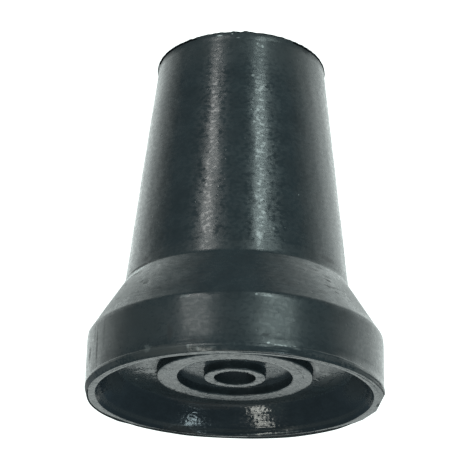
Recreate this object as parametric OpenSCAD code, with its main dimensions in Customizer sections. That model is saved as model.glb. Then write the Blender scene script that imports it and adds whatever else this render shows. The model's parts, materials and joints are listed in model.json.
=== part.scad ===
// Rubber cane tip, moulded in one piece. A tapered sleeve grips the end of the cane, a conical
// shoulder spreads it to a broad band, and the tread under the band is a shallow cup with a
// raised ring and a centre boss. Every surface is turned about the cane's axis.
// Millimetres. The rim's face lies at z = 0, and +Z runs up the cane's axis to the mouth.

/* [Sleeve and shoulder] */
// Height from the rim's face to the mouth
tip_h = 61.6; // [50:0.1:75]
// Outer diameter at the mouth
mouth_d = 30; // [26:0.1:36]
// Outer diameter where the sleeve meets the shoulder
neck_d = 38.4; // [34:0.1:44]
// Height at which the sleeve meets the shoulder
neck_h = 19; // [14:0.1:24]

/* [Socket] */
// Diameter of the socket, which is that of the cane's shaft
socket_d = 22; // [16:0.1:23]
// Depth of the socket below the mouth
socket_depth = 42; // [25:0.5:44]
// Width and depth of the bevel that leads the shaft in
lead_in = 0.8; // [0.2:0.1:1.2]

/* [Band and moulding lip] */
// Outer diameter of the band
band_d = 50; // [49:0.1:50.2]
// Height of the band's upper edge
band_h = 9.6; // [7:0.1:12]
// Diameter of the lip that the mould's parting line leaves round the foot of the band
lip_d = 50.4; // [50.2:0.1:51]
// Height at which the lip leaves the band
lip_top_h = 1.2; // [1:0.05:2]
// Height of the lip's upper corner
lip_high_h = 0.9; // [0.7:0.05:0.95]
// Height of the lip's lower corner
lip_low_h = 0.6; // [0.4:0.05:0.65]

/* [Rim and cup] */
// Outer diameter of the rim's face
rim_d = 49.2; // [48:0.1:50]
// Diameter of the cup at the rim's face
cup_d = 46.5; // [44:0.1:47.5]
// Diameter of the cup's floor
floor_d = 39.8; // [32:0.1:42]
// Depth of the cup's floor above the rim's face
cup_depth = 5; // [3:0.1:6]

/* [Ring and boss] */
// Outer diameter of the ring's face
ring_d = 26.2; // [22:0.1:30]
// Inner diameter of the ring's face
ring_bore_d = 19.4; // [14:0.1:20]
// Outer diameter of the boss's face
boss_d = 10.4; // [9:0.1:12]
// Diameter of the blind hole in the boss
hole_d = 7; // [4:0.1:8]
// Depth of that hole from the boss's face
hole_depth = 6; // [2:0.1:10]
// How far the ring and the boss stand out of the cup's floor
tread_h = 1.45; // [1:0.05:2.5]
// Draft of their side walls, in degrees
draft = 5; // [0:0.5:10]

/* [Edges] */
// Radius on the outer edges of the mouth and the band
edge_r = 0.4; // [0.1:0.05:0.8]
// Radius in the neck, and in the roots of the cup, the ring and the boss
root_r = 0.3; // [0.1:0.05:0.4]
// Radius on the edges of the rim's, the ring's and the boss's faces
face_r = 0.15; // [0.05:0.05:0.2]

/* [Hidden] */
$fn = 180;
arc_steps = 5;

rubber = "#2e3638";
mouth_r = mouth_d / 2;
neck_r = neck_d / 2;
socket_r = socket_d / 2;
band_r = band_d / 2;
lip_r = lip_d / 2;
rim_r = rim_d / 2;
cup_r = cup_d / 2;
floor_r = floor_d / 2;
hole_r = hole_d / 2;

// Heights of the ring's and the boss's faces, and of the ends of both blind holes
tread_z = cup_depth - tread_h;
hole_z = tread_z + hole_depth;
socket_z = tip_h - socket_depth;

// The ring's and the boss's side walls spread by this much between the face and the cup's floor
flare = tread_h * tan(draft);
ring_face_r = ring_d / 2;
ring_root_r = ring_face_r + flare;
bore_face_r = ring_bore_d / 2;
bore_root_r = bore_face_r - flare;
boss_face_r = boss_d / 2;
boss_root_r = boss_face_r + flare;

// Corner b of an outline, between its neighbours a and c. Each is [radius, height, rounding].
// A rounded corner becomes points along the arc that touches both of its sides.
function corner(a, b, c) =
    let(
        point = [b.x, b.y],
        side_a = unit([a.x, a.y] - point),
        side_c = unit([c.x, c.y] - point),
        half = acos(side_a * side_c) / 2,
        centre = point + unit(side_a + side_c) * b.z / sin(half),
        from_a = point + side_a * b.z / tan(half) - centre,
        start = atan2(from_a.y, from_a.x),
        turn = sign(side_c.x * side_a.y - side_c.y * side_a.x) * (180 - 2 * half)
    )
    b.z == 0 ? [point] : [
        for (i = [0 : arc_steps])
            let(angle = start + turn * i / arc_steps)
            centre + b.z * [cos(angle), sin(angle)]
    ];

function unit(v) = v / norm(v);

// Closed outline through a list of such corners
module outline(corners) {
    count = len(corners);
    polygon([
        for (i = [0 : count - 1])
            each corner(corners[(i + count - 1) % count], corners[i], corners[(i + 1) % count])
    ]);
}

// Half section of the outside, filled in: rim, moulding lip, band, shoulder, sleeve and mouth
module outside() {
    outline([
        [0, 0, 0],
        [rim_r, 0, face_r],
        [lip_r, lip_low_h, 0],
        [lip_r, lip_high_h, 0],
        [band_r, lip_top_h, 0],
        [band_r, band_h, edge_r],
        [neck_r, neck_h, root_r],
        [mouth_r, tip_h, edge_r],
        [0, tip_h, 0]
    ]);
}

// Half section of the socket, a blind bore with a bevelled mouth
module socket() {
    outline([
        [0, socket_z, 0],
        [socket_r, socket_z, root_r],
        [socket_r, tip_h - lead_in, 0],
        [socket_r + lead_in, tip_h, 0],
        [0, tip_h, 0]
    ]);
}

// Half section of the hollow under the band: the cup's wall and floor, then the ring's face
// standing out of the floor, the groove, and the boss's face with its blind hole
module hollow() {
    outline([
        [0, 0, 0],
        [cup_r, 0, 0],
        [floor_r, cup_depth, root_r],
        [ring_root_r, cup_depth, root_r],
        [ring_face_r, tread_z, face_r],
        [bore_face_r, tread_z, face_r],
        [bore_root_r, cup_depth, root_r],
        [boss_root_r, cup_depth, root_r],
        [boss_face_r, tread_z, face_r],
        [hole_r, tread_z, 0],
        [hole_r, hole_z, 0],
        [0, hole_z, 0]
    ]);
}

// The whole tip, turned from its half section
module rubber_tip() {
    color(rubber) rotate_extrude() difference() {
        outside();
        socket();
        hollow();
    }
}

rubber_tip();
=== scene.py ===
import json
import math

import bpy
import numpy as np
from mathutils import Matrix, Vector


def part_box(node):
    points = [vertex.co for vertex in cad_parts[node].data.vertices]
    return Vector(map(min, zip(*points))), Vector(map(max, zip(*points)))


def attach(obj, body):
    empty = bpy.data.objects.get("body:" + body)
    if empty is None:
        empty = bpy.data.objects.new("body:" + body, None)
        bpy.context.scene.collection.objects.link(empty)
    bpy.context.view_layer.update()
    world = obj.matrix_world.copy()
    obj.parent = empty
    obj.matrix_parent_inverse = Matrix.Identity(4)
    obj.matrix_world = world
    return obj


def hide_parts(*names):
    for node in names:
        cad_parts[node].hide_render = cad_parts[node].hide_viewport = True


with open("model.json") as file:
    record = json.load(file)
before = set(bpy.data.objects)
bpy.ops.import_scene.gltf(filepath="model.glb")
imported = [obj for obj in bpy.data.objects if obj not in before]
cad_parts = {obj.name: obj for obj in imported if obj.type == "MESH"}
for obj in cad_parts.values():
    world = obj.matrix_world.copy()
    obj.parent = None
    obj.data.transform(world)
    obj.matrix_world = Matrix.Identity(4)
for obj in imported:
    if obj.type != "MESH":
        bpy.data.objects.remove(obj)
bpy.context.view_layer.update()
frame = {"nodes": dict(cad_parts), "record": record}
scene = bpy.context.scene
mm = 0.001  # metres
socketMount = next(mount for mount in frame["record"]["mounts"] if mount["name"] == "socket")
print("frame loaded:", sorted(frame["nodes"]))

# Millimetres. The height and the socket's radius come from the frame, and the other sizes are
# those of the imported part, except for two kinds. The foot of the band has a bevel under the
# lip, a worn outer edge and a fine groove in the rim, and the roots, edges and side walls are
# as soft or as crisp as on the real moulding.
tipSize = {
    "height": round(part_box("rubber_tip")[1][2] / mm, 3),
    "mouthRadius": 15.0, "neckRadius": 19.2, "neckHeight": 19.0,
    "bandRadius": 25.0, "bandHeight": 9.6,
    "lipRadius": 25.01, "lipTop": 1.3, "lipHigh": 1.0, "lipLow": 0.75,
    "rimRadius": 24.55, "rimWear": 0.26, "wearRise": 0.012,
    "grooveRadius": 24.0, "grooveWidth": 0.16, "grooveDepth": 0.04,
    "cupRadius": 23.25, "floorRadius": 19.9, "cupDepth": 5.0,
    "ringOuter": 13.1, "ringInner": 9.7, "bossRadius": 5.2, "treadHeight": 3.55, "flare": 0.03,
    "holeRadius": 3.5, "holeDepth": 6.0,
    "socketRadius": socketMount["dims"]["r_mm"], "socketDepth": 42.0, "leadIn": 0.8,
    # Roundings, from the band's upper edge to the sharpest corners
    "edge": 0.4, "root": 0.3, "treadRoot": 0.08, "face": 0.12, "crisp": 0.05,
    "mouthEdge": 0.12, "neckRoot": 1.5,
    # Torn ring at the mouth, whose near-black finish is partly painted shade of its dark outline:
    # how far it reaches down the sleeve, where its darker part begins, and how far it reaches in
    # across the end face
    "tornDown": 0.42, "tornDark": 0.24, "tornIn": 0.5,
    # Stretches with close rows: down from the band's upper edge, and in from the neck
    "bandFine": 0.9, "neckFine": 0.25,
    "turns": 424, "arcRows": 3, "arcSpacing": 0.14,
}

# How a used moulding departs from that. Turns are degrees to the right of the side that faces
# the eye, and the rest is millimetres. A pair of places is where an effect is nil and where it
# is full.
tipWear = {
    "seed": 11,
    # Slow waves all over: their height, wavelengths and number, the wavelength with the full
    # height, the radius at which whole waves close, and the radii where they begin and are full
    "ripple": 0.0035, "rippleLength": (3.0, 14.0), "rippleCount": 30, "rippleFull": 8,
    "rippleRadius": 20, "rippleAcross": (0, 4),
    "neckFlare": 0.018, "neckFlareHeight": 2.4, "neckFlareFrom": 0.024,
    # The band: its rolled upper edge, its pinch above the lip, and the dip of its upper edge
    "shoulderRoll": 0.055, "shoulderRollHeight": 0.7, "bandWithin": 0.3, "cornerMargin": 0.02,
    "bandPinch": 0.1, "bandPinchTop": 2.9, "bandPinchHeight": 1.6, "bandPinchPower": 1.5,
    "bandDip": 0.34, "bandDipTurn": -35, "bandDipSpan": 75, "bandDipHeight": 2.5,
    # The lip: its waves, and where it stands out and where it sits low
    "lipWave": 0.02, "lipWaves": (5, 46), "lipWaveLeast": 0.4,
    "lipRise": 0.18, "lipRiseTurn": 62, "lipRiseSpan": 75,
    "lipFoot": (0.3, 0.7), "lipHead": (1.6, 1.25),
    "lipDrop": 0.62, "lipDropTurn": 80, "lipDropSpan": 48,
    "dropFoot": (0, 0.7), "dropHead": (2.0, 1.2),
    # The mouth: "down" is below its end and "in" is towards the axis from its outer edge. A nub
    # of flash has a turn, a width in degrees and a height.
    "mouthRag": 0.028, "mouthWaves": (12, 90), "ragDown": (0.7, 0), "ragIn": (1.2, 0.4),
    "mouthFlash": 0.16, "flashDown": (0.45, 0.25), "flashIn": (1.0, 0.2),
    "mouthNubs": [(-5.9, 1.0, 0.14), (2.6, 2.0, 0.16), (38.0, 1.5, 0.06), (-31.0, 1.5, 0.05)],
    # By turn: how far the cup's edge and the rim's outer edge stand out, and the width of the
    # rim that is frayed, whose dark finish is partly painted shadow
    "cupReach": [(-180, -0.35), (-164, -0.2), (-148, 0.15), (-112, 0.25), (-92, 0.05), (-12, 0),
                 (44, 0.28), (58, 0.1), (70, 0.05), (112, 0), (126, 0.3), (146, 0),
                 (158, -0.3), (180, -0.35)],
    "rimReach": [(-180, -0.08), (-170, -0.15), (-162, 0.18), (-132, 0.25), (-126, 0.7),
                 (-112, 0.72), (-100, 0.5), (-92, 0.18), (-75, -0.05), (-66, -0.12),
                 (-30, -0.2), (-20, -0.1), (-12, 0.02), (-4, 0.06), (4, 0.16), (14, 0.28),
                 (22, 0.18), (30, 0.04), (60, 0.05), (80, 0.43),
                 (98, 0.55), (112, 0.35), (124, 0.17), (134, 0.56), (154, 0.6), (164, 0.3),
                 (180, -0.08)],
    "rimWorn": [(-180, 1.15), (-168, 1.15), (-160, 1.5), (-148, 1.3), (-140, 0.9), (-132, 0.6),
                (-126, 0.8), (-112, 0.5), (-92, 0.24), (-60, 0.15), (-45, 0.2), (-10, 0.08),
                (10, 0.08), (35, 0.36), (60, 0.2), (85, 0.09), (116, 0.09), (124, 0.4),
                (134, 0.85), (148, 1.05), (156, 1.3), (168, 1.3), (180, 1.15)],
    # Where the two edges move: by height, then in or out from the edge. The rim's face is
    # below "rimLevel", and the foot below "footHeight".
    "cupReachUp": (1.5, 0), "cupReachIn": (0, 0.8), "rimReachUp": (0.8, 0.2),
    "rimReachOut": (0.05, 0.95), "rimLevel": 0.2, "footHeight": 2.5,
    # Flats on the rim: turn, distance from the axis. They let go between two heights.
    "rimCuts": [(77, 25.12), (93.5, 24.5), (109.4, 24.68)], "cutSpan": 60, "cutFree": (1.0, 2.4),
    "grooveTurn": 62, "grooveSpan": 24, "grooveWithin": 0.03,
    # Turn and half width of the stretches where a face that is worn and painted dark elsewhere is
    # clean
    "cleanEdges": {"rimEdge": [(17, 100)], "mouthSide": [(2, 34), (-94, 17)], "mouth": [(-94, 17)]},
    # Flash in the neck: turn, half width in degrees, height. It fades over the last degrees.
    "neckFlash": [(-76, 26, 0.1)], "flashEnd": 8, "flashWidth": 0.25,
    # Turn, height, half width, half height, depth, and which wall it is in
    "dents": [
        (-41.1, 13.9, 1.0, 0.7, 0.05, "outside"), (-51.7, 19.95, 0.9, 0.5, 0.05, "outside"),
        (-24.2, 3.4, 2.0, 2.0, 0.02, "outside"), (10.5, 2.8, 0.9, 0.45, 0.03, "outside"),
        (21.0, 2.2, 4.0, 0.25, 0.02, "outside"), (80.6, 0.5, 0.35, 0.5, 0.14, "outside"),
        (48.2, 60.8, 0.8, 0.6, 0.04, "outside"), (-17.0, 0.9, 0.5, 0.35, -0.04, "outside"),
        (-13.5, 0.5, 0.5, 0.4, -0.05, "outside"), (-8.0, 0.6, 0.6, 0.3, -0.03, "outside"),
        (-33.2, 1.3, 0.7, 0.5, -0.04, "outside"), (-163.0, 5.0, 7.0, 1.9, 0.5, "cup"),
        (18.0, 0.68, 2.6, 0.35, 0.06, "outside"), (-90, 60, 8.0, 9.0, 0.13, "outside"),
        (-163.0, 0.45, 3.5, 0.9, -0.11, "cup"), (163.0, 0.45, 5.0, 0.9, -0.11, "cup"),
    ],
    "cupMargin": 0.05,
}


def unit(v):
    # Vector of length 1 along v: v / |v|
    return v / np.linalg.norm(v)


def smooth(x):
    # Smooth step from 0 to 1: 3 x^2 - 2 x^3, with x held between 0 and 1
    x = np.clip(x, 0, 1)
    return x * x * (3 - 2 * x)


def fade(x, nil, full):
    # Smooth step of x: 0 at nil and 1 at full
    return smooth((x - nil) / (full - nil))


def hump(distance, width):
    # Bell curve: exp(-(distance / width) squared)
    return np.exp(-(distance / width) ** 2)


def apart(turn, place):
    # Degrees between two turns, the short way round
    return (turn - place + 180) % 360 - 180


def near(turn, place, span):
    # Smooth step of the turn: 1 at the place and 0 a span away on both sides
    return smooth(1 - abs(apart(turn, place)) / span)


def byTurn(turn, stops):
    # Value at each turn, along straight lines between stops of (turn, value)
    return np.interp(turn, *zip(*stops))


def sleeveSlope(size):
    # Height gained for each millimetre by which the sleeve narrows
    return (size["height"] - size["neckHeight"]) / (size["neckRadius"] - size["mouthRadius"])


def onSleeve(size, drop):
    # Radius and height on the sleeve this far below the mouth: mouth radius + drop / slope
    return size["mouthRadius"] + drop / sleeveSlope(size), size["height"] - drop


def sectionCorners(size):
    # Corners of the half section as (radius, height, rounding, row spacing to the next corner,
    # name of the face that starts here), from the hole's end over the tread, up the outside
    # and down the socket
    bossFoot = size["bossRadius"] + size["flare"]
    innerFoot = size["ringInner"] - size["flare"]
    outerFoot = size["ringOuter"] + size["flare"]
    holeEnd = size["treadHeight"] + size["holeDepth"]
    groove, half = size["grooveRadius"], size["grooveWidth"] / 2
    neckStep = size["neckFine"]
    socketEnd = size["height"] - size["socketDepth"]
    return [
        (0.0, holeEnd, 0.0, 1.75, "hole"),
        (size["holeRadius"], holeEnd, size["root"], 1.2, "hole"),
        (size["holeRadius"], size["treadHeight"], size["crisp"], 0.6, "bossFace"),
        (size["bossRadius"], size["treadHeight"], size["face"], 0.5, "groove"),
        (bossFoot, size["cupDepth"], size["treadRoot"], 0.8, "groove"),
        (innerFoot, size["cupDepth"], size["treadRoot"], 0.5, "groove"),
        (size["ringInner"], size["treadHeight"], size["face"], 0.6, "ringFace"),
        (size["ringOuter"], size["treadHeight"], size["face"], 0.5, "floor"),
        (outerFoot, size["cupDepth"], size["treadRoot"], 0.8, "floor"),
        (size["floorRadius"], size["cupDepth"], size["crisp"], 0.3, "wall"),
        (size["cupRadius"], 0.0, size["crisp"], 0.35, "rim"),
        (groove - half, 0.0, 0.0, 1.0, "rim"),
        (groove, size["grooveDepth"], 0.0, 1.0, "rim"),
        (groove + half, 0.0, 0.0, 0.2, "rim"),
        (size["rimRadius"] - size["rimWear"], 0.0, 0.0, 0.13, "rimEdge"),
        (size["rimRadius"], size["wearRise"], size["face"], 0.09, "bevel"),
        (size["lipRadius"], size["lipLow"], size["face"], 0.1, "lip"),
        (size["lipRadius"], size["lipHigh"], size["crisp"], 0.1, "lip"),
        (size["bandRadius"], size["lipTop"], size["crisp"], 0.55, "band"),
        (size["bandRadius"], size["bandHeight"] - size["bandFine"], 0.0, 0.11, "band"),
        (size["bandRadius"], size["bandHeight"], size["edge"], 0.6, "shoulder"),
        (size["neckRadius"], size["neckHeight"], size["neckRoot"], 0.25, "sleeve"),
        (size["neckRadius"] - neckStep, size["neckHeight"] + neckStep * sleeveSlope(size), 0.0,
         1.2, "sleeve"),
        (*onSleeve(size, size["tornDown"]), 0.0, 0.3, "mouthSide"),
        (*onSleeve(size, size["tornDark"]), 0.0, 0.3, "mouth"),
        (size["mouthRadius"], size["height"], size["mouthEdge"], 0.3, "mouth"),
        (size["mouthRadius"] - size["tornIn"], size["height"], 0.0, 0.6, "mouthFace"),
        (size["socketRadius"] + size["leadIn"], size["height"], size["crisp"], 0.4, "socket"),
        (size["socketRadius"], size["height"] - size["leadIn"], size["crisp"], 8.0, "socket"),
        (size["socketRadius"], socketEnd, size["root"], 3.6, "socket"),
        (0.0, socketEnd, 0.0, 1.0, "socket"),
    ]


# Faces of the section on the outside, and those that move with the cup's edge
outerFaces = ("rimEdge", "bevel", "lip", "band", "shoulder", "sleeve")
cupFaces = ("wall", "rim", "rimEdge")


def sectionPath(corners, arcRows, arcSpacing):
    # Straight stretches in even steps, and each rounded corner as an arc that touches both
    # sides: centre + rounding * (cos, sin) of evenly spaced angles. The second result names the
    # face of each stretch.
    places = np.array([corner[:2] for corner in corners])
    arcs = []
    for i, corner in enumerate(corners):
        rounding = corner[2]
        if rounding == 0:
            arcs.append(places[i][None])
            continue
        back, ahead = unit(places[i - 1] - places[i]), unit(places[i + 1] - places[i])
        half = math.acos(back @ ahead) / 2
        centre = places[i] + unit(back + ahead) * rounding / math.sin(half)
        first = places[i] + back * rounding / math.tan(half) - centre
        last = places[i] + ahead * rounding / math.tan(half) - centre
        sweep = math.atan2(first[0] * last[1] - first[1] * last[0], first @ last)
        rows = max(arcRows, math.ceil(abs(sweep) * rounding / arcSpacing) + 1)
        angles = math.atan2(first[1], first[0]) + sweep * np.linspace(0, 1, rows)
        arcs.append(centre + rounding * np.c_[np.cos(angles), np.sin(angles)])
    path, faces = [arcs[0]], []
    for i in range(len(arcs) - 1):
        start, end = arcs[i][-1], arcs[i + 1][0]
        spacing, name = corners[i][3:]
        steps = max(1, math.ceil(np.linalg.norm(end - start) / spacing))
        share = np.linspace(0, 1, steps + 1)[1:-1, None]
        path += [start + (end - start) * share, arcs[i + 1]]
        faces += [name] * (steps + len(arcs[i + 1]) - 1)
    return np.vstack(path), np.array(faces)


def ripples(turn, length, wear, random):
    # Sum of sine waves cos(n * turn + m * length + phase), each as high as the root of its
    # wavelength. The n are whole numbers, so that the waves close round the tip.
    total = np.zeros(np.broadcast(turn, length).shape)
    for _ in range(wear["rippleCount"]):
        wave = random.uniform(*wear["rippleLength"])
        lean = random.uniform(0, math.pi)
        n = round(2 * math.pi * wear["rippleRadius"] / wave * math.cos(lean))
        m = 2 * math.pi / wave * math.sin(lean)
        phase = random.uniform(0, 2 * math.pi)
        height = math.sqrt(wave / wear["rippleFull"])
        total += np.cos(n * np.radians(turn) + m * length + phase) * height
    return total * wear["ripple"]


def ragged(turn, random, lowest, highest):
    # Rough line round the tip: the sum of cos(n * turn + phase) over whole n, each with a
    # random phase, scaled to a mean square of 1
    n = np.arange(lowest, highest)[:, None, None]
    phase = random.uniform(0, 2 * math.pi, n.shape)
    return np.cos(n * np.radians(turn) + phase).sum(axis=0) / math.sqrt(len(n) / 2)


def wearPush(size, wear, r, z, length, turn, outside, random):
    # How far a point moves along the section's normal: ripples + the sleeve's flare at the neck
    # - the band's rolled edge - its pinch above the lip + flash in the neck - dents
    push = ripples(turn, length, wear, random) * fade(r, *wear["rippleAcross"])
    above = z - size["neckHeight"]
    flared = outside & (above > wear["neckFlareFrom"])
    push = push + wear["neckFlare"] * flared * np.clip(1 - above / wear["neckFlareHeight"], 0, 1) ** 2
    onBand = outside & (z <= size["bandHeight"]) & (r > size["bandRadius"] - wear["bandWithin"])
    below = size["bandHeight"] - z
    rolled = np.clip(1 - below / wear["shoulderRollHeight"], 0, 1) ** 2
    push = push - wear["shoulderRoll"] * onBand * rolled
    pinch = np.clip((wear["bandPinchTop"] - z) / wear["bandPinchHeight"], 0, 1)
    pinched = onBand & (z > size["lipTop"] - wear["cornerMargin"])
    push = push - wear["bandPinch"] * pinched * pinch ** wear["bandPinchPower"]
    fromNeck = np.hypot(r - size["neckRadius"], z - size["neckHeight"])
    for place, span, height in wear["neckFlash"]:
        ends = smooth((span - abs(apart(turn, place))) / wear["flashEnd"])
        push = push + height * outside * ends * hump(fromNeck, wear["flashWidth"])
    margin = wear["cupMargin"]
    sides = {"outside": outside, "cup": ~outside & (r > size["floorRadius"] + margin) & (z > margin)}
    for place, level, wide, tall, depth, side in wear["dents"]:
        across = np.radians(apart(turn, place)) * r
        push = push - depth * sides[side] * hump(across, wide) * hump(z - level, tall)
    return push


def wearFoot(size, wear, r, z, turn, foot, cup, random):
    # The rim's groove fades out at both ends: height * a smooth step of the turn. The cup's
    # edge and the frayed edge of the rim move by their reach at that turn. The lip stands out
    # by rise + waves and sits lower round one turn. The rim's outer edge moves by its reach,
    # and a cut holds it to the flat r = limit / cos(turn from the cut's middle) near its foot.
    onRim = cup & (z < wear["rimLevel"])
    inGroove = onRim & (abs(r - size["grooveRadius"]) < wear["grooveWithin"])
    z = np.where(inGroove, z * near(turn, wear["grooveTurn"], wear["grooveSpan"]), z)
    faceEdge = size["rimRadius"] - size["rimWear"]
    atEdge = fade(z, *wear["cupReachUp"]) * fade(faceEdge - r, *wear["cupReachIn"])
    r = r + byTurn(turn, wear["cupReach"]) * cup * atEdge
    onFace = cup & (r < size["rimRadius"] - size["face"]) & (z < wear["rimLevel"])
    frayed = byTurn(turn, wear["rimWorn"]) - size["rimWear"]
    r = r - frayed * onFace * fade(r, size["cupRadius"], faceEdge)

    rise = near(turn, wear["lipRiseTurn"], wear["lipRiseSpan"])
    atLip = fade(z, *wear["lipFoot"]) * fade(z, *wear["lipHead"])
    waves = wear["lipWave"] * ragged(turn, random, *wear["lipWaves"]) * (wear["lipWaveLeast"] + rise)
    r = r + (wear["lipRise"] * rise + waves) * foot * atLip
    drop = near(turn, wear["lipDropTurn"], wear["lipDropSpan"])
    z = z - wear["lipDrop"] * drop * foot * fade(z, *wear["dropFoot"]) * fade(z, *wear["dropHead"])
    outward = fade(r - size["cupRadius"], *wear["rimReachOut"]) * fade(z, *wear["rimReachUp"])
    r = r + byTurn(turn, wear["rimReach"]) * outward * foot
    for place, limit in wear["rimCuts"]:
        aside = apart(turn, place)
        within = abs(aside) < wear["cutSpan"]
        flat = limit / np.cos(np.radians(np.where(within, aside, 0)))
        held = flat + (r - flat) * fade(z, *wear["cutFree"])
        r = np.where(within & foot & (r > flat), held, r)
    return r, z


def wearMouth(size, wear, r, z, turn, random):
    # The mouth's end rises and falls by rag + the bell curve of each nub of flash, and its
    # outer edge stands out by the flash
    rag = wear["mouthRag"] * ragged(turn, random, *wear["mouthWaves"])
    for place, wide, height in wear["mouthNubs"]:
        rag = rag + height * hump(apart(turn, place), wide)
    below, inward = size["height"] - z, size["mouthRadius"] - r
    top = fade(below, *wear["ragDown"]) * fade(inward, *wear["ragIn"])
    flash = fade(below, *wear["flashDown"]) * fade(inward, *wear["flashIn"])
    return r + wear["mouthFlash"] * flash, z + rag * top


def wearSection(size, wear, path, faces, length, turn):
    # Radius and height of each point at each turn: the section's own + push * normal, then the
    # wear of the foot and the mouth, and the slow dip of the band's upper edge
    random = np.random.default_rng(wear["seed"])
    tangent = np.gradient(path, length, axis=0)
    tangent /= np.linalg.norm(tangent, axis=1)[:, None]
    normal = np.c_[tangent[:, 1], -tangent[:, 0]][1:-1]
    r, z = path[1:-1, :1], path[1:-1, 1:]
    outside, cup, rim = (np.isin(faces[:-1], names)[:, None]
                         for names in (outerFaces, cupFaces, "rim"))
    foot = (outside | rim) & (z < wear["footHeight"])
    push = wearPush(size, wear, r, z, length[1:-1, None], turn, outside, random)
    r, z = r + push * normal[:, :1], z + push * normal[:, 1:]
    r, z = wearFoot(size, wear, r, z, turn, foot, cup, random)
    r, z = wearMouth(size, wear, r, z, turn, random)
    dip = near(turn, wear["bandDipTurn"], wear["bandDipSpan"])
    dip = dip * outside * hump(z - size["bandHeight"], wear["bandDipHeight"])
    return r, z - wear["bandDip"] * dip


def closedFaces(rows, columns):
    # Quads between neighbouring rows and columns of a grid that closes round the axis, and a
    # fan of triangles at each end, round the two points that follow the grid's
    number = np.arange(rows * columns).reshape(rows, columns)
    beside = np.roll(number, -1, axis=1)
    quads = np.stack((number[:-1], number[1:], beside[1:], beside[:-1]), axis=-1).reshape(-1, 4)
    low, high = rows * columns, rows * columns + 1
    lowFan = np.stack((np.full(columns, low), number[0], beside[0]), axis=-1)
    highFan = np.stack((beside[-1], number[-1], np.full(columns, high)), axis=-1)
    return quads.tolist() + lowFan.tolist() + highFan.tolist()


def finishNumbers(wear, faces, turn):
    # Place in the list of finishes for each quad and then for each triangle of the two fans.
    # Clean stretches of a torn or frayed edge, whose dark finish is partly painted shade, have the
    # moulded skin.
    finish = np.array([finishOf[name] for name in faces])
    perQuad = np.repeat(finish[1:-1, None], turn.size, axis=1)
    for face, stretches in wear["cleanEdges"].items():
        for place, half in stretches:
            clean = (faces[1:-1] == face)[:, None] & (abs(apart(turn, place)) < half)
            perQuad = np.where(clean, finishOf["sleeve"], perQuad)
    return np.concatenate((perQuad.ravel(), np.repeat(finish[[0, -1]], turn.size)))


def buildTip(size, wear):
    # Surface of revolution: (r sin t, -r cos t, z) for each point (r, z) of the worn section
    # and each turn t, with one point at each end on the axis
    path, faces = sectionPath(sectionCorners(size), size["arcRows"], size["arcSpacing"])
    length = np.concatenate(([0], np.cumsum(np.linalg.norm(np.diff(path, axis=0), axis=1))))
    turn = np.linspace(-180, 180, size["turns"], endpoint=False)[None, :]
    r, z = wearSection(size, wear, path, faces, length, turn)
    t = np.radians(turn)
    grid = np.stack((r * np.sin(t), -r * np.cos(t), z), axis=-1)
    ends = [[0, 0, path[0, 1]], [0, 0, path[-1, 1]]]
    points = np.vstack((grid.reshape(-1, 3), ends)) * mm
    rows, columns = grid.shape[:2]
    mesh = bpy.data.meshes.new("rubberTip")
    mesh.from_pydata(points.tolist(), [], closedFaces(rows, columns))
    piece = bpy.data.objects.new("rubberTip", mesh)
    scene.collection.objects.link(piece)
    mesh.shade_smooth()
    piece.modifiers.new("weightedNormals", "WEIGHTED_NORMAL")

    # Lay of the mould's lines: distance along the section, and the direction round the axis
    lay = np.stack(np.broadcast_arrays(length[1:-1, None], np.sin(t), np.cos(t)), axis=-1)
    lay = np.vstack((lay.reshape(-1, 3), [[length[0], 0, 0], [length[-1], 0, 0]]))
    layData = mesh.attributes.new("lay", "FLOAT_VECTOR", "POINT").data
    layData.foreach_set("vector", lay.astype(np.float32).ravel())
    numbers = finishNumbers(wear, faces, turn)
    mesh.polygons.foreach_set("material_index", numbers.astype(np.int32))
    print("tip mesh:", rows, "rows,", 2 * rows * columns, "triangles")
    return piece


# Heights are millimetres of relief. "mottle" is how much the colour and the roughness vary.
# "faces" are the faces of the section that have the finish.
rubberBlack = (0.032, 0.042, 0.045)
rubberFinishes = [
    {"name": "mouldedSkin", "faces": ("bevel", "lip", "shoulder", "sleeve", "mouthFace", "socket"),
     "colour": rubberBlack, "roughness": 0.265, "specular": 0.5,
     "fineness": 1.15, "glints": 0.42, "lines": 0.012, "grains": 0.018, "peel": 0.014,
     "pits": 0.015, "mottle": 0.14},
    {"name": "bandSkin", "faces": ("band",),
     "colour": rubberBlack, "roughness": 0.265, "specular": 0.5,
     "fineness": 1.15, "glints": 0.34, "lines": 0.012, "grains": 0.014, "peel": 0.008,
     "pits": 0.015, "mottle": 0.14, "marksOf": "mouldedSkin"},
    {"name": "treadFace", "faces": ("bossFace", "ringFace", "rim", "floor", "groove", "hole"),
     "colour": rubberBlack, "roughness": 0.25, "specular": 0.5,
     "fineness": 1.6, "glints": 0.25, "lines": 0.004, "grains": 0.024, "peel": 0.012,
     "pits": 0.03, "mottle": 0.25},
    {"name": "cupWall", "faces": ("wall",),
     "colour": (0.026, 0.034, 0.039), "roughness": 0.17, "specular": 0.5,
     "fineness": 1.7, "glints": 0.4, "lines": 0.026, "grains": 0.036, "peel": 0.01,
     "pits": 0.01, "mottle": 0.15},
    # Near black and without reflection: a torn edge whose dark outline is partly painted shade
    {"name": "tornEdge", "faces": ("mouth", "mouthSide"),
     "colour": (0.010, 0.012, 0.013), "roughness": 0.8, "specular": 0.0,
     "fineness": 1.0, "glints": 0.0, "lines": 0.01, "grains": 0.04, "peel": 0.0,
     "pits": 0.02, "mottle": 0.4},
    # Darker and duller: a frayed edge whose dark line round the rim is partly painted shadow
    {"name": "frayedEdge", "faces": ("rimEdge",),
     "colour": (0.024, 0.028, 0.030), "roughness": 0.75, "specular": 0.1,
     "fineness": 1.5, "glints": 0.0, "lines": 0.02, "grains": 0.04, "peel": 0.0,
     "pits": 0.02, "mottle": 0.5},
]
finishOf = {face: number for number, look in enumerate(rubberFinishes) for face in look["faces"]}
tip = buildTip(tipSize, tipWear)

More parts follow.
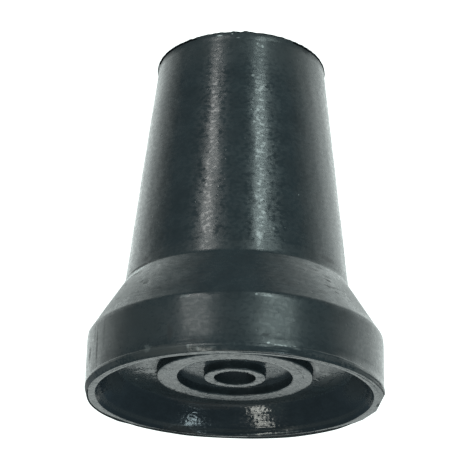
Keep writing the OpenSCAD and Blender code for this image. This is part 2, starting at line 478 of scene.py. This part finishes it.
# Dusty bands: height, half height and strength. Dust is paler and duller than the rubber.
dustBands = {"mouldedSkin": [(62.0, 9.0, 0.3), (20.0, 1.5, 0.2), (5.5, 6.0, 0.2)],
             "cupWall": [(0.88, 0.45, 0.45)]}

# Marks: turn, height, radius, half width round the tip, half height, half depth across the
# radius, strength. Each kind has its own colour and roughness, and some kinds also paint light
# or shade, as their names say.
markKinds = {
    "dust": {"colour": (0.06, 0.066, 0.064, 1), "roughness": 0.45, "ragged": 0.5},
    "powder": {"colour": (0.11, 0.12, 0.135, 1), "roughness": 0.5, "ragged": 0.0},
    "scuff": {"colour": (0.18, 0.172, 0.162, 1), "roughness": 0.5, "ragged": 1.0},
    "rubbed": {"colour": (0.04, 0.05, 0.053, 1), "roughness": 0.11, "ragged": 0.8},
    "grime": {"colour": (0.008, 0.01, 0.011, 1), "roughness": 0.6, "ragged": 0.7},
    "fleck": {"colour": (0.6, 0.63, 0.6, 1), "roughness": 0.4, "ragged": 0.9},
}
marks = {
    ("mouldedSkin", "dust"): [
        (-50, 5.5, 25, 11.0, 5.0, 9, 0.3), (40, 57, 15.5, 8.0, 6.0, 9, 0.22),
        # This patch on the left bevel is paler partly as painted light, where the lamps don't reach
        # it
        (-29, 0.75, 25, 6.2, 0.75, 9, 0.9),
        (42, 18.0, 19.8, 1.0, 0.35, 9, 0.8), (44.5, 16.2, 20.9, 1.1, 0.35, 9, 0.8),
        (36, 12.0, 23.5, 1.2, 0.35, 9, 0.7), (31, 17.5, 20.1, 1.6, 0.3, 9, 0.6),
        (31, 16.1, 21.0, 1.0, 0.25, 9, 0.5), (47, 14.1, 22.2, 1.4, 0.25, 9, 0.8),
        (66, 14.5, 22.0, 7.0, 4.2, 9, 0.75), (-64, 13.8, 22.3, 9.0, 4.8, 9, 0.8),
    ],
    # Pale scuffs on the bevel: partly wear and partly painted reflection of the pale floor that the
    # bevel faces
    ("mouldedSkin", "scuff"): [
        (-84, 0.55, 25, 4.0, 0.75, 9, 0.85), (-72, 0.5, 25, 3.6, 0.6, 9, 0.5),
        (-58, 0.5, 25, 5.0, 0.5, 9, 0.3),
        (78, 0.3, 25, 7.0, 0.7, 9, 0.85), (58, 0.5, 25, 6.0, 0.6, 9, 0.55),
        (40, 0.6, 25, 5.0, 0.3, 9, 0.25), (77, 24.5, 18.7, 0.6, 3.5, 9, 0.35),
    ],
    # Dark grime spots and seams. The thin dark lines at the neck beside its flash, and the line above
    # the lip, are painted shade of small grooves.
    ("mouldedSkin", "grime"): [
        (48.2, 60.8, 15, 0.7, 0.5, 9, 0.6), (-41.1, 13.9, 22, 0.6, 0.4, 9, 0.5),
        (-44.6, 14.5, 22, 0.4, 0.2, 9, 0.5), (-51.7, 19.9, 19, 0.8, 0.4, 9, 0.5),
        (-24.2, 3.4, 25, 0.5, 1.3, 9, 0.5), (10.5, 2.7, 25, 0.6, 0.3, 9, 0.5),
        (-58, 19.1, 19.2, 4.5, 0.3, 9, 0.8), (-57, 17.5, 20.1, 2.6, 0.12, 9, 0.8),
        (37.5, 17.0, 20.4, 1.3, 0.3, 9, 0.4), (43.5, 15.4, 21.4, 0.8, 0.25, 9, 0.7),
        (41.8, 13.9, 22.3, 1.3, 0.2, 9, 0.6), (45.0, 13.1, 22.7, 0.9, 0.2, 9, 0.5),
        (52, 20.6, 19.0, 2.5, 0.45, 9, 0.45),
        (-64.0, 4.9, 25, 0.34, 3.6, 9, 0.6), (-58.0, 6.4, 25, 0.3, 2.4, 9, 0.25),
        (-72.5, 4.6, 25, 0.9, 1.3, 9, 0.5), (-66.5, 7.2, 25, 0.4, 1.6, 9, 0.3),
        (-60, 15.8, 21.2, 0.5, 0.3, 9, 0.4), (-57, 12.6, 23.1, 0.8, 0.2, 9, 0.4),
        (-13.5, 1.75, 25, 1.6, 0.14, 9, 0.45),
    ],
    # Pale flecks: mostly painted glints and highlights where the lamps catch nubs, edges, the lip and
    # the neck's flash, and a few real specks of dust
    ("mouldedSkin", "fleck"): [
        (-15.4, 61.0, 15, 0.6, 0.12, 9, 0.9), (-6.3, 61.2, 15, 0.15, 0.12, 9, 0.5),
        (-2.3, 60.4, 15, 0.3, 0.1, 9, 0.4), (10.3, 59.4, 15, 0.22, 0.2, 9, 0.5),
        (13.6, 58.9, 15, 0.2, 0.3, 9, 0.6), (7.6, 52.7, 16, 0.25, 0.25, 9, 0.4),
        (33.4, 30.8, 18, 0.1, 0.1, 9, 0.6), (17.9, 23.4, 19, 0.25, 0.2, 9, 0.3),
        (-18.6, 9.15, 25, 0.8, 0.26, 9, 0.2), (7.1, 9.3, 25, 0.2, 0.15, 9, 0.5),
        (10.7, 9.15, 25, 1.0, 0.1, 9, 0.4), (11.6, 1.5, 25, 0.25, 0.16, 9, 1.0),
        (16.2, 1.25, 25, 1.2, 0.11, 9, 0.9), (21.3, 1.34, 25, 0.25, 0.1, 9, 0.5),
        (-17, 0.86, 25, 0.25, 0.3, 9, 0.25), (-13.5, 0.4, 25, 0.25, 0.3, 9, 0.25),
        (-66, 17.9, 19.9, 2.0, 0.34, 9, 1.0), (-58.5, 18.2, 19.7, 2.0, 0.3, 9, 1.0),
        (-53, 18.5, 19.5, 1.2, 0.18, 9, 0.9),
        (-8.1, 0.52, 25, 0.4, 0.12, 9, 0.12), (-33.2, 1.4, 25, 0.6, 0.6, 9, 0.12),
    ],
    # Painted light: a paler colour that lifts the shade in the hole and in the groove round the boss
    ("treadFace", "powder"): [
        (0, 8.6, 0, 999, 4.2, 6.0, 1.0), (0, 5.0, 7.45, 999, 1.15, 2.4, 0.2),
    ],
    ("treadFace", "dust"): [(107, 5, 17.2, 3.5, 9, 2.0, 0.5), (-108, 5, 17.6, 3.0, 9, 1.8, 0.35)],
    ("treadFace", "rubbed"): [
        (-93, 5, 16.2, 1.2, 9, 0.6, 0.9), (-95.7, 5, 17.8, 0.9, 9, 0.6, 0.8),
        (-109.8, 5, 18.0, 0.4, 9, 0.4, 1.0), (-97, 5, 14.1, 1.6, 9, 0.8, 0.8),
        (106.8, 5, 14.7, 0.9, 9, 0.6, 1.0), (95, 5, 15.4, 1.0, 9, 0.5, 0.8),
        (85, 5, 13.8, 1.6, 9, 0.35, 0.8), (102, 5, 17.1, 3.0, 9, 0.2, 0.9),
        (-85, 5, 15.0, 2.2, 9, 0.9, 0.5), (-104, 5, 15.8, 4.5, 9, 2.2, 0.55),
    ],
    ("treadFace", "fleck"): [(-109.8, 5, 18.0, 0.22, 9, 0.25, 0.35)],
    ("treadFace", "grime"): [
        (-16.1, 3.55, 11.85, 0.55, 0.5, 0.2, 0.6), (2.1, 3.55, 11.9, 0.7, 0.5, 0.22, 0.45),
        (-43.1, 3.55, 10.7, 0.8, 0.5, 0.12, 0.4), (-36.3, 3.55, 10.1, 0.7, 0.5, 0.1, 0.4),
        (70.8, 3.55, 11.5, 0.9, 0.5, 0.12, 0.4), (84.3, 3.55, 11.5, 1.1, 0.5, 0.15, 0.35),
        (60, 3.55, 11.7, 0.8, 0.5, 0.12, 0.3), (-72.7, 3.55, 11.4, 0.4, 0.5, 0.2, 0.35),
        (-89.4, 5, 17.1, 1.2, 9, 0.4, 0.2), (-107, 5, 15.6, 0.9, 9, 0.4, 0.15),
        (95, 0.05, 24.2, 1.0, 0.4, 0.25, 0.5), (70, 0.05, 24.1, 3.5, 0.4, 0.07, 0.35),
    ],
    # Dust on the cup wall's sides, paler and duller partly as painted light that lifts their shade
    ("cupWall", "dust"): [(-97, 3.8, 21, 6.0, 1.6, 9, 0.6), (98, 3.4, 21, 6.0, 1.9, 9, 0.6)],
    ("cupWall", "scored"): [(160, 2.2, 22.5, 6.5, 2.2, 9, 1.0)],
    ("cupWall", "rubbed"): [(160.5, 4.15, 20.5, 2.6, 0.9, 9, 1.0)],
    # Painted shade: dark, dull patches that take away the top and the foot of the left lamp's
    # reflection on the cup wall
    ("cupWall", "grime"): [(-155.5, 0.4, 23, 3.4, 0.7, 9, 0.9), (-163, 4.7, 20.2, 5, 0.6, 9, 0.7)],
    # Painted highlight along the cup wall's lower edge
    ("cupWall", "fleck"): [(161, 0.3, 23, 6.0, 0.07, 9, 0.22)],
}


def put(tree, kind, inputs=None, **settings):
    # Adds a node, with its settings and with values or links for its inputs
    made = tree.nodes.new("ShaderNode" + kind)
    for name, value in settings.items():
        setattr(made, name, value)
    for socket, value in (inputs or {}).items():
        if isinstance(value, bpy.types.NodeSocket):
            tree.links.new(value, made.inputs[socket])
        else:
            made.inputs[socket].default_value = value
    return made


def calc(tree, operation, *values):
    # One sum, product or other step between numbers
    return put(tree, "Math", dict(enumerate(values)), operation=operation).outputs[0]


def calcVector(tree, operation, *values):
    # One product, difference or other step between vectors, part by part
    return put(tree, "VectorMath", dict(enumerate(values)), operation=operation).outputs[0]


def ramp(tree, value, fromLow, fromHigh, toLow=0.0, toHigh=1.0):
    # Smooth step from toLow, where the value is fromLow, to toHigh, where it is fromHigh
    return put(tree, "MapRange", {0: value, 1: fromLow, 2: fromHigh, 3: toLow, 4: toHigh},
               interpolation_type="SMOOTHSTEP").outputs[0]


def between(tree, share, low, high):
    # low + share * (high - low), with the share held between 0 and 1
    return put(tree, "MapRange", {0: share, 3: low, 4: high}).outputs[0]


def startGroup(name, inputs, outputs):
    # A node group with sockets of (title, kind), and what its inputs give and its outputs take
    group = bpy.data.node_groups.new(name, "ShaderNodeTree")
    for way, sockets in (("INPUT", inputs), ("OUTPUT", outputs)):
        for title, kind in sockets:
            group.interface.new_socket(title, in_out=way, socket_type="NodeSocket" + kind)
    given = group.nodes.new("NodeGroupInput").outputs
    return group, given, group.nodes.new("NodeGroupOutput").inputs


# Scales are per millimetre. "layStretch" draws the mould's lines out round the tip, and
# "alongStretch" flattens the grains. A pair of values is where a shape begins and where it is full.
reliefPattern = {
    "layStretch": (2.2, 4.0, 4.0), "alongStretch": 1.4,
    "lines": {"Scale": 1.0, "Detail": 1.3, "Roughness": 0.55},
    "grains": {"Scale": 0.9, "Detail": 0.6, "Roughness": 0.45},
    "peel": {"Scale": 0.45, "Detail": 1.0},
    "pits": {"Scale": 0.9}, "pitEdge": (0.2, 0.04), "pitRarity": 0.7,
    "mottle": {"Scale": 0.22, "Detail": 4.0, "Roughness": 0.65}, "mottleEdge": (0.3, 0.7),
    "shine": {"Scale": 1.15, "Detail": 0.0},
}


def makeRelief(pattern):
    # Height of moulded rubber: lines of the turned mould + grains drawn out round the tip
    # + a slow orange peel - a few pits. Mottle varies the colour and the roughness, and shine
    # is where the glints are.
    inputs = [("Place", "Vector"), ("Lay", "Vector"), ("Fineness", "Float"), ("Lines", "Float"),
              ("Grains", "Float"), ("Peel", "Float"), ("Pits", "Float")]
    outputs = [("Height", "Float"), ("Mottle", "Float"), ("Shine", "Float")]
    group, given, result = startGroup("rubberRelief", inputs, outputs)
    place = calcVector(group, "MULTIPLY", given["Place"], (1 / mm, 1 / mm, 1 / mm))
    x, y, _ = put(group, "SeparateXYZ", {0: place}).outputs
    along = put(group, "SeparateXYZ", {0: given["Lay"]}).outputs[0]
    # Distance along the section and place round the axis, so that the grain lies round the tip
    along = calc(group, "MULTIPLY", along, pattern["alongStretch"])
    flat = put(group, "CombineXYZ", {0: along, 1: x, 2: y}).outputs[0]
    flat = put(group, "VectorMath", {0: flat, 3: given["Fineness"]}, operation="SCALE").outputs[0]
    lay = calcVector(group, "MULTIPLY", given["Lay"], pattern["layStretch"])
    height = 0.0
    for name, where in (("lines", lay), ("grains", flat), ("peel", flat)):
        noise = put(group, "TexNoise", {"Vector": where, **pattern[name]}).outputs["Fac"]
        height = calc(group, "MULTIPLY_ADD", noise, given[name.capitalize()], height)
    cells = put(group, "TexVoronoi", {"Vector": place, **pattern["pits"]}).outputs
    chance = put(group, "SeparateColor", {0: cells["Color"]}).outputs[0]
    rare = calc(group, "GREATER_THAN", chance, pattern["pitRarity"])
    pit = calc(group, "MULTIPLY", ramp(group, cells["Distance"], *pattern["pitEdge"]), rare)
    height = calc(group, "SUBTRACT", height, calc(group, "MULTIPLY", pit, given["Pits"]))
    mottle = put(group, "TexNoise", {"Vector": flat, **pattern["mottle"]}).outputs["Fac"]
    shine = put(group, "TexNoise", {"Vector": flat, **pattern["shine"]}).outputs["Fac"]
    group.links.new(height, result["Height"])
    group.links.new(ramp(group, mottle, *pattern["mottleEdge"]), result["Mottle"])
    group.links.new(shine, result["Shine"])
    return group


def makeRound():
    # Where a place is on the tip: turn = atan2(x, -y) in radians, height, and radius
    # = root(x^2 + y^2) in millimetres
    group, given, result = startGroup("roundTheTip", [("Place", "Vector")], [("Where", "Vector")])
    place = calcVector(group, "MULTIPLY", given["Place"], (1 / mm, -1 / mm, 1 / mm))
    x, y, z = put(group, "SeparateXYZ", {0: place}).outputs
    turn = calc(group, "ARCTAN2", x, y)
    radius = calc(group, "SQRT", calc(group, "MULTIPLY_ADD", x, x, calc(group, "MULTIPLY", y, y)))
    where = put(group, "CombineXYZ", {0: turn, 1: z, 2: radius}).outputs[0]
    group.links.new(where, result["Where"])
    return group


# Distance from a mark's centre, in units of its half width, where it begins and is full
markEdge = (1.3, 0.55)


def makeMark():
    # One ragged spot: the distance from its centre in units of its size, roughened by noise
    inputs = [("Where", "Vector"), ("Centre", "Vector"), ("Scale", "Vector"), ("Rough", "Float"),
              ("Strength", "Float")]
    group, given, result = startGroup("mark", inputs, [("Mask", "Float")])
    gap = calcVector(group, "SUBTRACT", given["Where"], given["Centre"])
    gap = calcVector(group, "MULTIPLY", gap, given["Scale"])
    distance = put(group, "VectorMath", {0: gap}, operation="LENGTH").outputs["Value"]
    distance = calc(group, "ADD", distance, given["Rough"])
    mask = calc(group, "MULTIPLY", ramp(group, distance, *markEdge), given["Strength"])
    group.links.new(mask, result["Mask"])
    return group


relief, roundTheTip, markSpot = makeRelief(reliefPattern), makeRound(), makeMark()


def addMarks(tree, places, where, rough):
    # The strongest of the marks at each place
    mask = None
    for turn, height, radius, wide, tall, deep, strength in places:
        spot = put(tree, "Group", node_tree=markSpot, inputs={
            "Where": where, "Centre": (math.radians(turn), height, radius),
            "Scale": (radius / wide, 1 / tall, 1 / deep), "Rough": rough,
            "Strength": strength}).outputs[0]
        mask = spot if mask is None else calc(tree, "MAXIMUM", mask, spot)
    return mask


def coverWith(tree, kind, mask, colour, rough):
    # Lays one kind of mark over the colour and the roughness so far, by the mask
    cover = markKinds[kind]
    colour = put(tree, "Mix", {0: mask, 6: colour, 7: cover["colour"]}, data_type="RGBA")
    rough = put(tree, "Mix", {0: mask, 2: rough, 3: cover["roughness"]})
    return colour.outputs[2], rough.outputs[0]


def addCovers(tree, marked, place, where, colour, rough):
    # Dusty bands first, then each kind of mark in turn, with its edge roughened by fine noise
    level = put(tree, "SeparateXYZ", {0: where}).outputs["Y"]
    for height, half, strength in dustBands.get(marked, []):
        away = calc(tree, "ABSOLUTE", calc(tree, "SUBTRACT", level, height))
        core = skinChange["dustCore"] * half
        mask = calc(tree, "MULTIPLY", ramp(tree, away, half, core), strength)
        colour, rough = coverWith(tree, "dust", mask, colour, rough)
    fine = put(tree, "TexNoise", {"Vector": place, **skinChange["raggedNoise"]}).outputs["Fac"]
    edge = between(tree, fine, -skinChange["raggedReach"], skinChange["raggedReach"])
    for kind, cover in markKinds.items():
        places = marks.get((marked, kind))
        if places:
            uneven = calc(tree, "MULTIPLY", edge, cover["ragged"])
            mask = addMarks(tree, places, where, uneven)
            colour, rough = coverWith(tree, kind, mask, colour, rough)
    return colour, rough


# How a finish changes over the surface: its roughness from the lowest to the highest mottle,
# the noise at which glints begin and are full, how much deeper the scored lines are, the core
# of a dusty band as a share of its half height, and the noise that makes a mark's edge ragged,
# with its scale per metre and its reach in units of the mark's size
skinChange = {
    "ior": 1.5, "roughShare": (0.93, 1.1), "glintEdge": (0.45, 0.72), "scored": 3.4,
    "dustCore": 0.3, "raggedNoise": {"Scale": 2400.0, "Detail": 1.5}, "raggedReach": 1.2,
}


def makeRubber(look):
    # Colour = the finish's own * mottle, roughness = its own * mottle * glints, and both are
    # covered by dust and marks. The relief goes into the normal.
    material = bpy.data.materials.new(look["name"])
    material.use_nodes = True
    tree = material.node_tree
    shader = tree.nodes["Principled BSDF"]
    shader.inputs["IOR"].default_value = skinChange["ior"]
    shader.inputs["Specular IOR Level"].default_value = look["specular"]
    place = put(tree, "TexCoord").outputs["Object"]
    lay = put(tree, "Attribute", attribute_name="lay").outputs["Vector"]
    where = put(tree, "Group", {"Place": place}, node_tree=roundTheTip).outputs[0]
    lines = look["lines"]
    if (look["name"], "scored") in marks:
        scored = addMarks(tree, marks[look["name"], "scored"], where, 0.0)
        lines = between(tree, scored, lines, skinChange["scored"] * lines)
    skin = put(tree, "Group", node_tree=relief, inputs={
        "Place": place, "Lay": lay, "Fineness": look["fineness"], "Lines": lines,
        "Grains": look["grains"], "Peel": look["peel"], "Pits": look["pits"]}).outputs
    bump = put(tree, "Bump", {"Height": skin["Height"], "Distance": mm})
    tree.links.new(bump.outputs[0], shader.inputs["Normal"])

    shade = between(tree, skin["Mottle"], 1 - look["mottle"], 1 + look["mottle"])
    colour = calcVector(tree, "MULTIPLY", look["colour"], shade)
    least, most = (share * look["roughness"] for share in skinChange["roughShare"])
    rough = between(tree, skin["Mottle"], least, most)
    glints = ramp(tree, skin["Shine"], *skinChange["glintEdge"], 1.0, 1 - look["glints"])
    rough = calc(tree, "MULTIPLY", rough, glints)
    marked = look.get("marksOf", look["name"])
    colour, rough = addCovers(tree, marked, place, where, colour, rough)
    tree.links.new(colour, shader.inputs["Base Color"])
    tree.links.new(rough, shader.inputs["Roughness"])
    return material


for look in rubberFinishes:
    tip.data.materials.append(makeRubber(look))
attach(tip, "root")
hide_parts("rubber_tip")
print("rubber ready:", len(rubberFinishes), "finishes")

# Two rows of upright strip lights stand round the tip, one on each side of the eye. Turns are
# degrees to the right of the side that faces the eye, lengths are metres, heights are above the
# tip's foot, and "glow" is the brightness of a strip's face.
stripLights = {
    "away": 0.63,
    "strips": [
        {"turn": -33.5, "low": 0.38, "high": 0.58, "width": 0.11, "glow": 8.3,
         "colour": (1, 1, 0.97)},
        {"turn": -30, "low": 0.16, "high": 0.38, "width": 0.25, "glow": 3.35,
         "colour": (0.97, 1, 0.97)},
        {"turn": -33, "low": -1.1, "high": -0.45, "width": 0.13, "glow": 8.5,
         "colour": (0.98, 1, 0.92)},
        {"turn": 24.5, "low": 0.38, "high": 0.58, "width": 0.12, "glow": 10.8,
         "colour": (0.83, 1, 0.98)},
        {"turn": 30.5, "low": 0.16, "high": 0.38, "width": 0.29, "glow": 4.2,
         "colour": (0.82, 1, 0.97)},
        {"turn": 43, "low": -1.1, "high": -0.45, "width": 0.08, "glow": 10.5,
         "colour": (0.75, 0.95, 1)},
    ],
}


def addStrips(lights):
    # Each strip stands at away * (sin turn, -cos turn) and faces the axis. Its power is
    # pi * the brightness of its face * its area.
    for number, strip in enumerate(lights["strips"]):
        light = bpy.data.lights.new(f"strip{number}", "AREA")
        light.shape = "RECTANGLE"
        light.size = strip["width"]
        light.size_y = strip["high"] - strip["low"]
        light.energy = math.pi * strip["glow"] * light.size * light.size_y
        light.color = strip["colour"]
        turn = math.radians(strip["turn"])
        outward = Vector((math.sin(turn), -math.cos(turn), 0))
        upward = Vector((0, 0, 1))
        place = Matrix((upward.cross(outward), upward, outward)).transposed().to_4x4()
        place.translation = outward * lights["away"] + upward * (strip["low"] + strip["high"]) / 2
        box = bpy.data.objects.new(f"strip{number}", light)
        box.matrix_world = place
        scene.collection.objects.link(box)


# What shines on the tip from all round, by brightness: "behind" the tip and "beside" it over
# the level of its foot, "below" behind it under that level, and "under" straight below. A turn
# is in degrees to the right of straight ahead. A depth, a rise or an aside is the part of a
# unit direction that points away from the eye, upward or to either side, and a pair of them is
# where a smooth step begins and where it ends.
surroundings = {
    "front": (0.1, 0.15, 0.18), "tint": (0.92, 1.0, 0.98),
    "behind": 1.4, "behindTurn": 8, "behindDepth": (-0.12, 0.6),
    "beside": 0.26, "besideAside": (0.1, 0.4), "besideDepth": (-0.3, 0.0),
    "below": 1.36, "belowTurn": 1, "belowDepth": (0.84, 0.95),
    "under": 0.55, "underRise": (-0.75, -0.95),
    "levelRise": (-0.05, 0.2),
    "lineRise": 0.03, "lineHeight": (0.07, 0.25), "lineGlow": 0.05,
    "lineAside": (0.22, 0.42), "lineAsideGlow": 0.5,
}


def depthAt(tree, direction, turn):
    # Part of a direction that points away from the eye at a turn: its product with
    # (sin turn, cos turn, 0)
    turn = math.radians(turn)
    ahead = {0: direction, 1: (math.sin(turn), math.cos(turn), 0)}
    return put(tree, "VectorMath", ahead, operation="DOT_PRODUCT").outputs["Value"]


def makeWorld(around):
    # White where the eye meets it. As light: below + (behind + beside - below) * how far the
    # direction is over the level of the foot, times the dark line near that level, or the glow
    # from under the tip where that is more
    world = bpy.data.worlds.new("studioWorld")
    world.use_nodes = True
    scene.world = world
    tree = world.node_tree
    direction = put(tree, "TexCoord").outputs["Generated"]
    x, _, rise = put(tree, "SeparateXYZ", {0: direction}).outputs
    aside = calc(tree, "ABSOLUTE", x)
    depth = depthAt(tree, direction, around["behindTurn"])
    lowDepth = depthAt(tree, direction, around["belowTurn"])
    upper = ramp(tree, depth, *around["behindDepth"], 0.0, around["behind"])
    lower = ramp(tree, lowDepth, *around["belowDepth"], 0.0, around["below"])
    beside = calc(tree, "MULTIPLY", ramp(tree, aside, *around["besideAside"]),
                  ramp(tree, depth, *around["besideDepth"]))
    upper = calc(tree, "MULTIPLY_ADD", beside, around["beside"], upper)
    over = ramp(tree, rise, *around["levelRise"])
    light = calc(tree, "MULTIPLY_ADD", calc(tree, "SUBTRACT", upper, lower), over, lower)
    fromLine = calc(tree, "ABSOLUTE", calc(tree, "SUBTRACT", rise, around["lineRise"]))
    clear = calc(tree, "MAXIMUM", ramp(tree, fromLine, *around["lineHeight"], around["lineGlow"]),
                 ramp(tree, aside, *around["lineAside"], 0.0, around["lineAsideGlow"]))
    light = calc(tree, "MULTIPLY", light, clear)
    under = ramp(tree, rise, *around["underRise"], 0.0, around["under"])
    light = calc(tree, "MAXIMUM", light, under)
    colour = put(tree, "VectorMath", {0: around["tint"], 3: light}, operation="SCALE").outputs[0]
    colour = calcVector(tree, "MAXIMUM", around["front"], colour)
    seen = put(tree, "LightPath").outputs["Is Camera Ray"]
    colour = calcVector(tree, "MAXIMUM", colour, seen)
    tree.links.new(colour, tree.nodes["Background"].inputs["Color"])


# Metres
paleFloor = {"radius": 1.5, "corners": 96, "colour": (0.9, 0.9, 0.9, 1)}


def makeFloor(disc):
    # A disc of pale paper under the tip: radius * (cos, sin) of even angles. It shows from
    # above alone, so that an eye below the floor looks through it at the tread.
    angle = np.linspace(0, 2 * math.pi, disc["corners"], endpoint=False)
    rim = np.stack((np.cos(angle), np.sin(angle), 0 * angle), axis=-1) * disc["radius"]
    mesh = bpy.data.meshes.new("paleFloor")
    mesh.from_pydata(rim.tolist(), [], [list(range(len(angle)))])
    floor = bpy.data.objects.new("paleFloor", mesh)
    scene.collection.objects.link(floor)
    material = bpy.data.materials.new("palePaper")
    material.use_nodes = True
    tree = material.node_tree
    tree.nodes.remove(tree.nodes["Principled BSDF"])
    paper = put(tree, "BsdfDiffuse", {"Color": disc["colour"]}).outputs[0]
    clear = put(tree, "BsdfTransparent").outputs[0]
    seen = put(tree, "LightPath").outputs["Is Camera Ray"]
    fromBelow = put(tree, "NewGeometry").outputs["Backfacing"]
    shows = put(tree, "Math", {0: seen, 1: fromBelow}, operation="SUBTRACT", use_clamp=True)
    shown = put(tree, "MixShader", {0: shows.outputs[0], 1: clear, 2: paper})
    tree.links.new(shown.outputs[0], tree.nodes["Material Output"].inputs["Surface"])
    floor.data.materials.append(material)


addStrips(stripLights)
makeWorld(surroundings)
makeFloor(paleFloor)
print("studio ready:", len(stripLights["strips"]), "strip lights")

# Millimetres and degrees. The camera stands in front of the tip and below its rim, looking up.
view = {"back": 257.4, "down": 79.54, "pitch": 22.99, "yaw": -0.11, "roll": 1.24,
        "lens": 122.86, "sensor": 36, "nearest": 1.0}


def makeCamera(view):
    # Looks along (sin yaw cos pitch, cos yaw cos pitch, sin pitch), then rolls about that line
    pitch, yaw, roll = (math.radians(view[name]) for name in ("pitch", "yaw", "roll"))
    ahead = Vector((math.sin(yaw) * math.cos(pitch), math.cos(yaw) * math.cos(pitch),
                    math.sin(pitch)))
    level = Vector((math.cos(yaw), -math.sin(yaw), 0))
    above = level.cross(ahead)
    right = level * math.cos(roll) + above * math.sin(roll)
    up = above * math.cos(roll) - level * math.sin(roll)
    camera = bpy.data.objects.new("camera", bpy.data.cameras.new("camera"))
    camera.data.sensor_width = view["sensor"]
    camera.data.lens = view["lens"]
    camera.data.clip_start = view["nearest"] * mm
    place = Matrix((right, up, -ahead)).transposed().to_4x4()
    place.translation = Vector((0, -view["back"], -view["down"])) * mm
    camera.matrix_world = place
    scene.collection.objects.link(camera)
    scene.camera = camera


makeCamera(view)
scene.view_settings.view_transform = "Standard"
print("camera ready")
